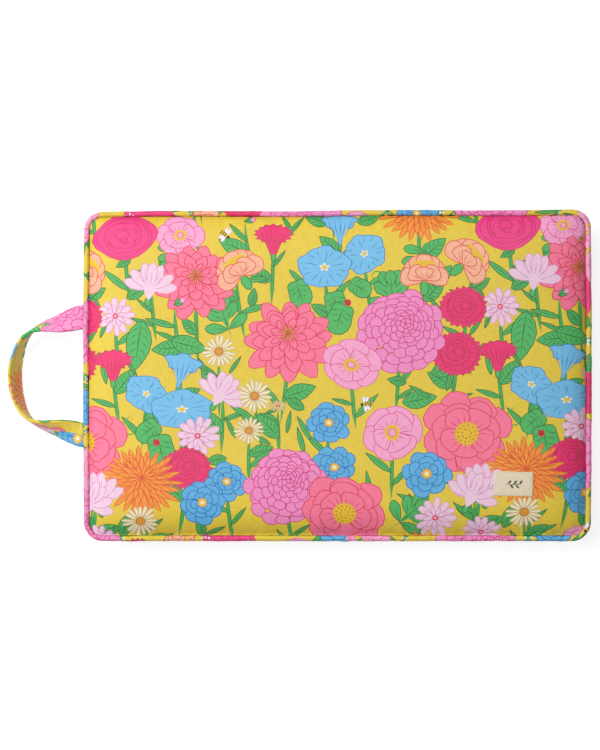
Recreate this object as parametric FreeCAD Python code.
"""A garden kneeling pad: a foam block in a zipped, piped box cover with a carry strap on one short side.

Frame: +X along the long side, away from the carry strap; +Y across; +Z up. The origin is the centre of
the flat face that the pad rests on. All sizes are in millimetres. Each piece of the real pad is one STEP
file in parts/, named after the piece.
"""

import FreeCAD
import Part
import math
import os

from FreeCAD import Vector

# ---- Driving dimensions ----------------------------------------------------------------------------
PAD_LENGTH = 460.0  # over the piping, along X
PAD_WIDTH = 300.0  # over the piping, along Y
PAD_HEIGHT = 49.6  # from the resting face to the crown of the top panel
CORNER_R = 17.0  # outside corner radius of the piping, seen from above
CLOTH = 0.8  # thickness of the cover cloth
PIPING_R = 2.6  # outside radius of the piping
PIPING_WALL = 0.55  # thickness of the cloth round the piping cord
CORD_GAP = 0.1  # air between the cord and the cloth round it
TOP_SEAM_Z = 38.0  # height of the top seam and its piping
BOTTOM_SEAM_Z = 2.8  # height of the bottom seam and its piping
SEAM_ALLOWANCE = 8.0  # how far the piping's flange hangs inside the cover
FLANGE = 1.0  # thickness of that flange, two layers of cloth
FLANGE_SIDE_GAP = 0.75  # from the gusset to the hanging flange, room for the zip tapes
FOAM_GAP = 3.6  # from the gusset's outside to the foam, room for flanges and the zip slider
FOAM_LIFT = 0.2  # air between the foam and the panels

# The crown of the top panel: how far in from the gusset, and how high above the rim.
CROWN = (
    (0.0, 0.0),
    (1.6, 2.2),
    (5.0, 4.9),
    (10.0, 7.4),
    (17.0, 9.4),
    (26.0, 10.6),
    (34.0, 11.0),
)
CROWN_CORNER_GROWTH = 0.6  # the corner radius grows by this share of the inset
# The turned-up rim of the bottom panel: inset from the gusset, and height above the resting face.
TRAY = ((3.0, 0.0), (1.1, 0.9), (0.0, 2.2))

# The zip, in the gusset on the -Y side.
ZIP_HALF_LENGTH = 200.0
ZIP_HALF_GAP = 3.6  # half the height of the slot between the two cloth strips
CHAIN_HALF_LENGTH = 189.6
CHAIN_INNER, CHAIN_OUTER = 0.5, 3.1  # a tooth row's nearest and furthest edge from the chain's centre
CHAIN_THICKNESS = 1.6
TOOTH_PITCH = 2.0
TOOTH_WIDTH = 1.2
SPINE = 0.8  # height of the bar that joins a row's teeth
TAPE_HALF_WIDTH = 11.5
TAPE_THICKNESS = 0.5
TOUCH = 0.05  # air between two layers that are sewn together
STITCH = 0.4  # thickness of a sewing thread
STITCH_INSET = 2.2  # from a folded edge to its row of stitches

SLIDER_LENGTH, SLIDER_HEIGHT, SLIDER_PLATE = 11.0, 8.4, 1.1
SLIDER_X = 181.0  # centre of the slider with the zip closed
BAR_R = 0.7  # the slider's bar that the pull tab turns on
BAR_BACK = 1.5  # from the slider's centre back to that bar
BAR_HALF = 3.0
EAR_R, EAR_THICKNESS = 1.1, 0.8  # the slider's two ears that hold the bar
KNUCKLE_R, KNUCKLE_HOLE_R, KNUCKLE_HALF = 1.45, 0.8, 2.0
PULL_LENGTH, PULL_THICKNESS = 24.0, 1.2

# The carry strap: a flat sewn tube round a webbing core. It leaves the pad flat, just under the piping,
# turns on edge on its way round, and leans outwards in the middle with its lower edge on the ground.
STRAP_WIDTH, STRAP_THICKNESS, STRAP_WALL = 22.0, 3.2, 0.7
CORE_GAP = 0.15
STRAP_ROOT_Y = 53.0  # centre of each sewn-in end
HINGE_X = -235.0  # where the strap bends as it lifts
HINGE_CLEARANCE = 2.4  # from the bend to the ends of the strap's solids on either side
# Centre line of half the strap after the bend, root to middle; the other half mirrors it in Y.
STRAP_PATH = (
    (-252.0, 49.0, 30.4),
    (-267.0, 46.4, 25.8),
    (-279.5, 42.0, 21.0),
    (-288.8, 32.5, 16.4),
    (-294.8, 18.0, 12.6),
    (-297.2, 0.0, 11.4),
)
STRAP_SLOPE = 0.1  # the strap's downward slope where it leaves the bend
STRAP_ROLL = math.radians(113.0)  # how far the strap has rolled over at its middle
STRAP_STATIONS = 16  # sections along half the strap

LABEL_SIZE = (35.0, 22.0, 0.5)
LABEL_AT = (158.0, -97.0)
LABEL_TURN = -1.5  # degrees

# ---- Worked out from those -------------------------------------------------------------------------
SEAM_X = PAD_LENGTH / 2 - PIPING_R  # half size of the piping's centre line
SEAM_Y = PAD_WIDTH / 2 - PIPING_R
SEAM_R = CORNER_R - PIPING_R
WALL_INSET = PIPING_R + 0.2  # from the piping's centre line in to the gusset's outside
WALL_TOP = TOP_SEAM_Z - FLANGE / 2 - 0.1
WALL_BOTTOM = BOTTOM_SEAM_Z + FLANGE / 2 + 0.1
RIM_Z = TOP_SEAM_Z + FLANGE / 2 + 0.1
ZIP_Z = (WALL_TOP + WALL_BOTTOM) / 2
WALL_Y = SEAM_Y - WALL_INSET  # the gusset's outside on the zip side is at -WALL_Y
STRAP_Z = TOP_SEAM_Z - PIPING_R - 0.2 - STRAP_THICKNESS / 2


def rounded_wire(inset, z, corner=None):
    """A rounded rectangle at height z, that far inside the piping's centre line."""
    a, b = SEAM_X - inset, SEAM_Y - inset
    r = corner if corner is not None else SEAM_R - inset
    k = r * math.sqrt(0.5)
    edges = []
    for cx, cy, turn in ((1, 1, 0), (-1, 1, 90), (-1, -1, 180), (1, -1, 270)):
        centre = Vector(cx * (a - r), cy * (b - r), z)
        start = centre + turned(Vector(r, 0, 0), turn)
        middle = centre + turned(Vector(k, k, 0), turn)
        end = centre + turned(Vector(0, r, 0), turn)
        if edges:
            edges.append(Part.LineSegment(edges[-1].Vertexes[-1].Point, start).toShape())
        edges.append(Part.Arc(start, middle, end).toShape())
    edges.append(Part.LineSegment(edges[-1].Vertexes[-1].Point, edges[0].Vertexes[0].Point).toShape())
    return Part.Wire(edges)


def turned(vector, degrees):
    """vector turned about +Z."""
    return FreeCAD.Rotation(Vector(0, 0, 1), degrees).multVec(vector)


def block(inset, z0, z1):
    """A prism of the rounded rectangle between two heights."""
    return Part.Face(rounded_wire(inset, z0)).extrude(Vector(0, 0, z1 - z0))


def ring(outer_inset, inner_inset, z0, z1):
    return block(outer_inset, z0, z1).cut(block(inner_inset, z0 - 1, z1 + 1))


def box(x0, x1, y0, y1, z0, z1):
    return Part.makeBox(x1 - x0, y1 - y0, z1 - z0, Vector(x0, y0, z0))


def crowned(shrink, drop):
    """The crown as a solid, shrunk in plan and lowered: the outside of the top panel or of the foam."""
    wires = []
    for inset, rise in CROWN:
        corner = SEAM_R - WALL_INSET - shrink + inset * CROWN_CORNER_GROWTH
        wires.append(rounded_wire(WALL_INSET + shrink + inset, RIM_Z + rise - drop, corner))
    return Part.makeLoft(wires, True, True)


def make_top_panel():
    inner = crowned(CLOTH, CLOTH).fuse(block(WALL_INSET + CLOTH, RIM_Z - 5, RIM_Z - CLOTH))
    return crowned(0, 0).cut(inner)


def make_bottom_panel():
    outer = Part.makeLoft([rounded_wire(WALL_INSET + i, z) for i, z in TRAY], True, True)
    inner = Part.makeLoft([rounded_wire(WALL_INSET + CLOTH + i, z + CLOTH) for i, z in TRAY], True, True)
    return outer.cut(inner)


def make_foam():
    shrink = FOAM_GAP + FOAM_LIFT
    drop = CLOTH + FOAM_LIFT
    slab = block(WALL_INSET + shrink, CLOTH + FOAM_LIFT, RIM_Z - drop)
    return slab.fuse(crowned(shrink, drop)).removeSplitter()


def make_gusset():
    """The boxing band: three sides and both ends of the zip side, notched where the strap ends pass in."""
    band = ring(WALL_INSET, WALL_INSET + CLOTH, WALL_BOTTOM, WALL_TOP)
    zip_side = ZIP_HALF_LENGTH + 0.2
    band = band.cut(box(-zip_side, zip_side, -WALL_Y - 5, -WALL_Y + 5, 0, PAD_HEIGHT))
    notch = STRAP_WIDTH / 2 + 0.4
    left = -SEAM_X + WALL_INSET
    for side in (-STRAP_ROOT_Y, STRAP_ROOT_Y):
        band = band.cut(box(left - 5, left + 5, side - notch, side + notch, STRAP_Z - 1.9, PAD_HEIGHT))
    return band


def make_zip_strip(sign):
    """The cloth strip above (1) or below (-1) the zip."""
    z0, z1 = (ZIP_Z + ZIP_HALF_GAP, WALL_TOP) if sign > 0 else (WALL_BOTTOM, ZIP_Z - ZIP_HALF_GAP)
    return box(-ZIP_HALF_LENGTH, ZIP_HALF_LENGTH, -WALL_Y, -WALL_Y + CLOTH, z0, z1)


def loop_tube(radius, z):
    """A round rod that follows the piping's centre line."""
    straight_x, straight_y = SEAM_X - SEAM_R, SEAM_Y - SEAM_R
    rod = None
    for k, (sx, sy) in enumerate(((1, 1), (-1, 1), (-1, -1), (1, -1))):
        corner = Part.makeTorus(SEAM_R, radius, Vector(0, 0, 0), Vector(0, 0, 1), -180, 180, 90)
        corner.Placement = FreeCAD.Placement(
            Vector(sx * straight_x, sy * straight_y, z), FreeCAD.Rotation(Vector(0, 0, 1), 90 * k)
        )
        rod = corner if rod is None else rod.fuse(corner)
    for sign in (-1, 1):
        along_x = Part.makeCylinder(
            radius, 2 * straight_x, Vector(-straight_x, sign * SEAM_Y, z), Vector(1, 0, 0)
        )
        along_y = Part.makeCylinder(
            radius, 2 * straight_y, Vector(sign * SEAM_X, -straight_y, z), Vector(0, 1, 0)
        )
        rod = rod.fuse(along_x).fuse(along_y)
    return rod.removeSplitter()


def make_piping_cover(z, inward):
    """The bias cloth round a cord, with its flange, which hangs inside the cover; inward is -1 for down."""
    flange_in = WALL_INSET + CLOTH + FLANGE_SIDE_GAP
    level = ring(PIPING_R - PIPING_WALL, flange_in + FLANGE, z - FLANGE / 2, z + FLANGE / 2)
    far = z + inward * SEAM_ALLOWANCE
    hanging = ring(flange_in, flange_in + FLANGE, min(z - FLANGE / 2, far), max(z + FLANGE / 2, far))
    cover = loop_tube(PIPING_R, z).fuse(level).fuse(hanging)
    cover = cover.cut(loop_tube(PIPING_R - PIPING_WALL, z))
    if inward < 0:
        slot = STRAP_WIDTH / 2 + 0.4
        left = -SEAM_X + WALL_INSET
        for side in (-STRAP_ROOT_Y, STRAP_ROOT_Y):
            cut = box(left + CLOTH, left + 8, side - slot, side + slot, 0, z - FLANGE / 2)
            cover = cover.cut(cut)
    return cover


def make_piping_cord(z):
    return loop_tube(PIPING_R - PIPING_WALL - CORD_GAP, z)


def make_tape(sign):
    z0, z1 = sorted((ZIP_Z + sign * CHAIN_INNER, ZIP_Z + sign * TAPE_HALF_WIDTH))
    front = -WALL_Y + CLOTH + TOUCH
    return box(-ZIP_HALF_LENGTH - 2, ZIP_HALF_LENGTH + 2, front, front + TAPE_THICKNESS, z0, z1)


def make_teeth(sign):
    """One row of the zip: a spine with teeth towards the chain's centre, cut from one comb outline."""
    back = -WALL_Y + CLOTH
    front = back - CHAIN_THICKNESS
    tip, root, far = (ZIP_Z + sign * d for d in (CHAIN_INNER, CHAIN_OUTER - SPINE, CHAIN_OUTER))
    count = int(2 * CHAIN_HALF_LENGTH / TOOTH_PITCH) - 1
    shift = 0.25 * TOOTH_PITCH * sign
    points = [Vector(CHAIN_HALF_LENGTH, front, far), Vector(-CHAIN_HALF_LENGTH, front, far)]
    points.append(Vector(-CHAIN_HALF_LENGTH, front, root))
    for k in range(count):
        x = (k - (count - 1) / 2) * TOOTH_PITCH + shift
        for dx, z in ((-0.5, root), (-0.4, tip), (0.4, tip), (0.5, root)):
            points.append(Vector(x + dx * TOOTH_WIDTH, front, z))
    points.append(Vector(CHAIN_HALF_LENGTH, front, root))
    outline = Part.makePolygon(points + points[:1])
    return Part.Face(outline).extrude(Vector(0, CHAIN_THICKNESS, 0))


def make_end_stops():
    """Two crimped stops at the closed end, one on each row, and one across both rows at the open end."""
    back = -WALL_Y + CLOTH
    front = back - CHAIN_THICKNESS - 0.2
    x0, x1 = CHAIN_HALF_LENGTH + 0.2, CHAIN_HALF_LENGTH + 2.6
    upper = box(x0, x1, front, back, ZIP_Z + CHAIN_INNER, ZIP_Z + CHAIN_OUTER)
    lower = box(x0, x1, front, back, ZIP_Z - CHAIN_OUTER, ZIP_Z - CHAIN_INNER)
    bridge = box(-x1, -x0, front, back, ZIP_Z - CHAIN_OUTER, ZIP_Z + CHAIN_OUTER)
    return Part.makeCompound([rounded_edges(s, 0.3) for s in (upper, lower, bridge)])


def rounded_edges(solid, radius):
    return solid.makeFillet(radius, solid.Edges)


def make_zip_stitching():
    """One thread line along the folded edge of each strip."""
    front = -WALL_Y - TOUCH - STITCH
    threads = []
    for sign in (-1, 1):
        z = ZIP_Z + sign * (ZIP_HALF_GAP + STITCH_INSET)
        half = ZIP_HALF_LENGTH - 1
        threads.append(box(-half, half, front, front + STITCH, z - STITCH / 2, z + STITCH / 2))
    return Part.makeCompound(threads)


def slider_outline(y):
    """The slider's shield shape in the plane y: broad at its nose, which points along +X, slimmer behind."""
    nose, tail = SLIDER_X + SLIDER_LENGTH / 2, SLIDER_X - SLIDER_LENGTH / 2
    high, low = SLIDER_HEIGHT / 2, SLIDER_HEIGHT / 2 - 1.0
    half = (
        (nose, 0.45 * high),
        (nose - 1.8, high),
        (SLIDER_X - 1.0, high),
        (tail + 1.2, low),
        (tail, low - 1.0),
    )
    points = [Vector(x, y, ZIP_Z + z) for x, z in half]
    points += [Vector(x, y, ZIP_Z - z) for x, z in reversed(half)]
    return Part.Face(Part.makePolygon(points + points[:1]))


def make_slider():
    """Front and back plates joined by a neck between the tooth rows, side lips, and ears with the pull's bar."""
    chain_front = -WALL_Y + CLOTH - CHAIN_THICKNESS
    front_inner = chain_front - 0.3
    front_outer = front_inner - SLIDER_PLATE
    back_inner = -WALL_Y + CLOTH + TOUCH + TAPE_THICKNESS + 0.3
    front = slider_outline(front_outer).extrude(Vector(0, SLIDER_PLATE, 0))
    back = slider_outline(back_inner).extrude(Vector(0, SLIDER_PLATE - 0.1, 0))
    neck = box(SLIDER_X + 2.4, SLIDER_X + 5.0, front_inner - 0.2, back_inner + 0.2, ZIP_Z - 0.4, ZIP_Z + 0.4)
    body = front.fuse(back).fuse(neck)
    for sign in (-1, 1):
        z0, z1 = sorted((ZIP_Z + sign * 3.4, ZIP_Z + sign * SLIDER_HEIGHT / 2))
        body = body.fuse(box(SLIDER_X - 1.0, SLIDER_X + 3.7, front_inner - 0.1, front_inner + 0.7, z0, z1))
    bar_y = front_outer - KNUCKLE_R - 0.25
    bar_x = SLIDER_X - BAR_BACK
    for sign in (-1, 1):
        z0, z1 = sorted((ZIP_Z + sign * (BAR_HALF - EAR_THICKNESS), ZIP_Z + sign * BAR_HALF))
        ear = box(bar_x - EAR_R, bar_x + EAR_R, bar_y, front_outer + 0.2, z0, z1)
        ear_end = Part.makeCylinder(EAR_R, z1 - z0, Vector(bar_x, bar_y, z0), Vector(0, 0, 1))
        body = body.fuse(ear).fuse(ear_end)
    bar_start = Vector(bar_x, bar_y, ZIP_Z - BAR_HALF)
    bar = Part.makeCylinder(BAR_R, 2 * BAR_HALF, bar_start, Vector(0, 0, 1))
    return body.fuse(bar).removeSplitter(), bar_x, bar_y


def make_pull(bar_x, bar_y):
    """The pull tab: a knuckle on the slider's bar and a blade with a grip slot, lying back along the zip."""
    start = Vector(bar_x, bar_y, ZIP_Z - KNUCKLE_HALF)
    knuckle = Part.makeCylinder(KNUCKLE_R, 2 * KNUCKLE_HALF, start, Vector(0, 0, 1))
    half_thickness = PULL_THICKNESS / 2
    end = bar_x - PULL_LENGTH
    slim, wide, tip = KNUCKLE_HALF - 0.2, 3.0, 3.6
    half = ((bar_x - 0.5, slim), (bar_x - 2.4, slim), (bar_x - 4.4, wide), (end + 3.0, tip), (end, tip - 2.0))
    points = [Vector(x, bar_y - half_thickness, ZIP_Z + z) for x, z in half]
    points += [Vector(x, bar_y - half_thickness, ZIP_Z - z) for x, z in reversed(half)]
    blade = Part.Face(Part.makePolygon(points + points[:1])).extrude(Vector(0, PULL_THICKNESS, 0))
    slot = box(end + 4.0, bar_x - 9.0, bar_y - 2, bar_y + 2, ZIP_Z - 1.4, ZIP_Z + 1.4)
    for x in (end + 4.0, bar_x - 9.0):
        slot = slot.fuse(Part.makeCylinder(1.4, 4, Vector(x, bar_y - 2, ZIP_Z), Vector(0, 1, 0)))
    hole = Part.makeCylinder(KNUCKLE_HOLE_R, 20, Vector(bar_x, bar_y, ZIP_Z - 10), Vector(0, 0, 1))
    return knuckle.fuse(blade).cut(slot).cut(hole).removeSplitter()


def strap_centre_line():
    """The strap's centre line past the bend, from one root over the middle to the other."""
    root = (HINGE_X - HINGE_CLEARANCE, STRAP_ROOT_Y, STRAP_Z - 0.1)
    half = [root, *STRAP_PATH]
    points = [Vector(*p) for p in half] + [Vector(x, -y, z) for x, y, z in reversed(half[:-1])]
    curve = Part.BSplineCurve()
    out, back = Vector(-1, 0, -STRAP_SLOPE), Vector(1, 0, STRAP_SLOPE)
    curve.interpolate(Points=points, InitialTangent=out, FinalTangent=back)
    return curve


def strap_stations():
    """(centre, across, facing) along the strap. across runs from its outer, lower edge to its inner, upper one."""
    curve = strap_centre_line()
    length = curve.length()
    stations = []
    for k in range(2 * STRAP_STATIONS + 1):
        share = k / (2 * STRAP_STATIONS)
        at = curve.parameterAtDistance(share * length, curve.FirstParameter)
        centre = curve.value(at)
        tangent = curve.tangent(at)[0]
        inward = tangent.cross(Vector(0, 0, -1)).normalize()
        up = tangent.cross(inward).normalize()
        half_share = 1 - abs(2 * share - 1)
        roll = STRAP_ROLL * math.sin(math.pi / 2 * half_share**0.9)
        across = inward * math.cos(roll) + up * math.sin(roll)
        facing = tangent.cross(across).normalize()
        stations.append((centre, across, facing))
    return stations


def flat_section(centre, across, facing, width, thickness):
    """A flat section with round edges."""
    r = thickness / 2
    reach = width / 2 - r
    a, b = centre + across * reach, centre - across * reach
    top, bottom = facing * r, facing * -r
    return Part.Wire(
        [
            Part.LineSegment(b + top, a + top).toShape(),
            Part.Arc(a + top, a + across * r, a + bottom).toShape(),
            Part.LineSegment(a + bottom, b + bottom).toShape(),
            Part.Arc(b + bottom, b - across * r, b + top).toShape(),
        ]
    )


def strap_sections(width, thickness):
    return [flat_section(c, a, f, width, thickness) for c, a, f in strap_stations()]


def make_strap_cover():
    """A flat tube, open at both ends: an outer and an inner skin joined by a rim at each end."""
    outer = strap_sections(STRAP_WIDTH, STRAP_THICKNESS)
    inner = strap_sections(STRAP_WIDTH - 2 * STRAP_WALL, STRAP_THICKNESS - 2 * STRAP_WALL)
    faces = Part.makeLoft(outer, False, True).Faces + Part.makeLoft(inner, False, True).Faces
    for end in (0, -1):
        rim = Part.Face(outer[end]).cut(Part.Face(inner[end]))
        faces += rim.Faces
    shell = Part.makeShell(faces)
    shell.sewShape()
    return Part.makeSolid(shell)


def make_strap_core():
    gap = STRAP_WALL + CORE_GAP
    sections = strap_sections(STRAP_WIDTH - 2 * gap, STRAP_THICKNESS - 2 * gap)
    return Part.makeLoft(sections, True, True)


def make_strap_stitching():
    """A thread line near both edges of the strap, on both faces, stopping short of the bend."""
    bend = box(HINGE_X - HINGE_CLEARANCE - 1.5, HINGE_X, -PAD_WIDTH, PAD_WIDTH, 0, PAD_HEIGHT)
    out = STRAP_THICKNESS / 2 + 2 * TOUCH + STITCH / 2
    reach = STRAP_WIDTH / 2 - STITCH_INSET
    threads = []
    for side in (-1, 1):
        for face in (-1, 1):
            wires = []
            for centre, across, facing in strap_stations():
                at = centre + across * (side * reach) + facing * (face * out)
                wires.append(flat_section(at, across, facing, STITCH * 1.5, STITCH))
            threads.append(Part.makeLoft(wires, True, True).cut(bend))
    return Part.makeCompound(threads)


def make_strap_ends():
    """The two sewn-in strap ends: out under the piping to the bend, and turned down inside the gusset."""
    inside = -SEAM_X + WALL_INSET + CLOTH
    ends = []
    for side in (-STRAP_ROOT_Y, STRAP_ROOT_Y):
        y0, y1 = side - STRAP_WIDTH / 2, side + STRAP_WIDTH / 2
        z0, z1 = STRAP_Z - STRAP_THICKNESS / 2, STRAP_Z + STRAP_THICKNESS / 2
        level = box(HINGE_X + HINGE_CLEARANCE, inside + 2.0, y0, y1, z0, z1)
        hanging = box(inside + 0.2, inside + 2.4, y0, y1, z0 - SEAM_ALLOWANCE, z1 - 0.2)
        ends.append(level.fuse(hanging).removeSplitter())
    return Part.makeCompound(ends)


def on_label(shape):
    """shape, made round the origin, moved on to the top panel where the label is."""
    turn = FreeCAD.Rotation(Vector(0, 0, 1), LABEL_TURN)
    shape.Placement = FreeCAD.Placement(Vector(*LABEL_AT, PAD_HEIGHT + TOUCH), turn)
    return shape


def make_label():
    length, width, thickness = LABEL_SIZE
    patch = box(-length / 2, length / 2, -width / 2, width / 2, 0, thickness)
    upright = [e for e in patch.Edges if abs(e.tangentAt(0).z) > 0.9]
    return on_label(patch.makeFillet(1.0, upright))


def make_label_stitching():
    """A thread line round the label, just inside its edge."""
    length, width, thickness = LABEL_SIZE
    a, b = length / 2 - 1.2, width / 2 - 1.2
    z0, z1 = thickness + TOUCH, thickness + TOUCH + 0.3
    frame = box(-a, a, -b, b, z0, z1).cut(box(-a + STITCH, a - STITCH, -b + STITCH, b - STITCH, 0, 5))
    return on_label(frame)


def main():
    os.makedirs("parts", exist_ok=True)
    slider, bar_x, bar_y = make_slider()
    pieces = {
        "foam_core": make_foam(),
        "top_panel": make_top_panel(),
        "bottom_panel": make_bottom_panel(),
        "gusset_band": make_gusset(),
        "zip_strip_upper": make_zip_strip(1),
        "zip_strip_lower": make_zip_strip(-1),
        "top_piping_cover": make_piping_cover(TOP_SEAM_Z, -1),
        "top_piping_cord": make_piping_cord(TOP_SEAM_Z),
        "bottom_piping_cover": make_piping_cover(BOTTOM_SEAM_Z, 1),
        "bottom_piping_cord": make_piping_cord(BOTTOM_SEAM_Z),
        "zip_tape_upper": make_tape(1),
        "zip_tape_lower": make_tape(-1),
        "zip_teeth_upper": make_teeth(1),
        "zip_teeth_lower": make_teeth(-1),
        "zip_end_stops": make_end_stops(),
        "zip_topstitching": make_zip_stitching(),
        "zip_slider": slider,
        "zip_pull_tab": make_pull(bar_x, bar_y),
        "label_patch": make_label(),
        "label_stitching": make_label_stitching(),
        "carry_strap_ends": make_strap_ends(),
        "carry_strap_cover": make_strap_cover(),
        "carry_strap_webbing": make_strap_core(),
        "carry_strap_stitching": make_strap_stitching(),
    }
    for name, shape in pieces.items():
        count = len(shape.Solids)
        print(name, "solids", count, "valid", shape.isValid(), "mm3", round(shape.Volume, 1))
        shape.exportStep(os.path.join("parts", name + ".step"))
    print("pull tab hinge", round(bar_x, 3), round(bar_y, 3), round(ZIP_Z, 3), "strap bend", HINGE_X, STRAP_Z)


main()
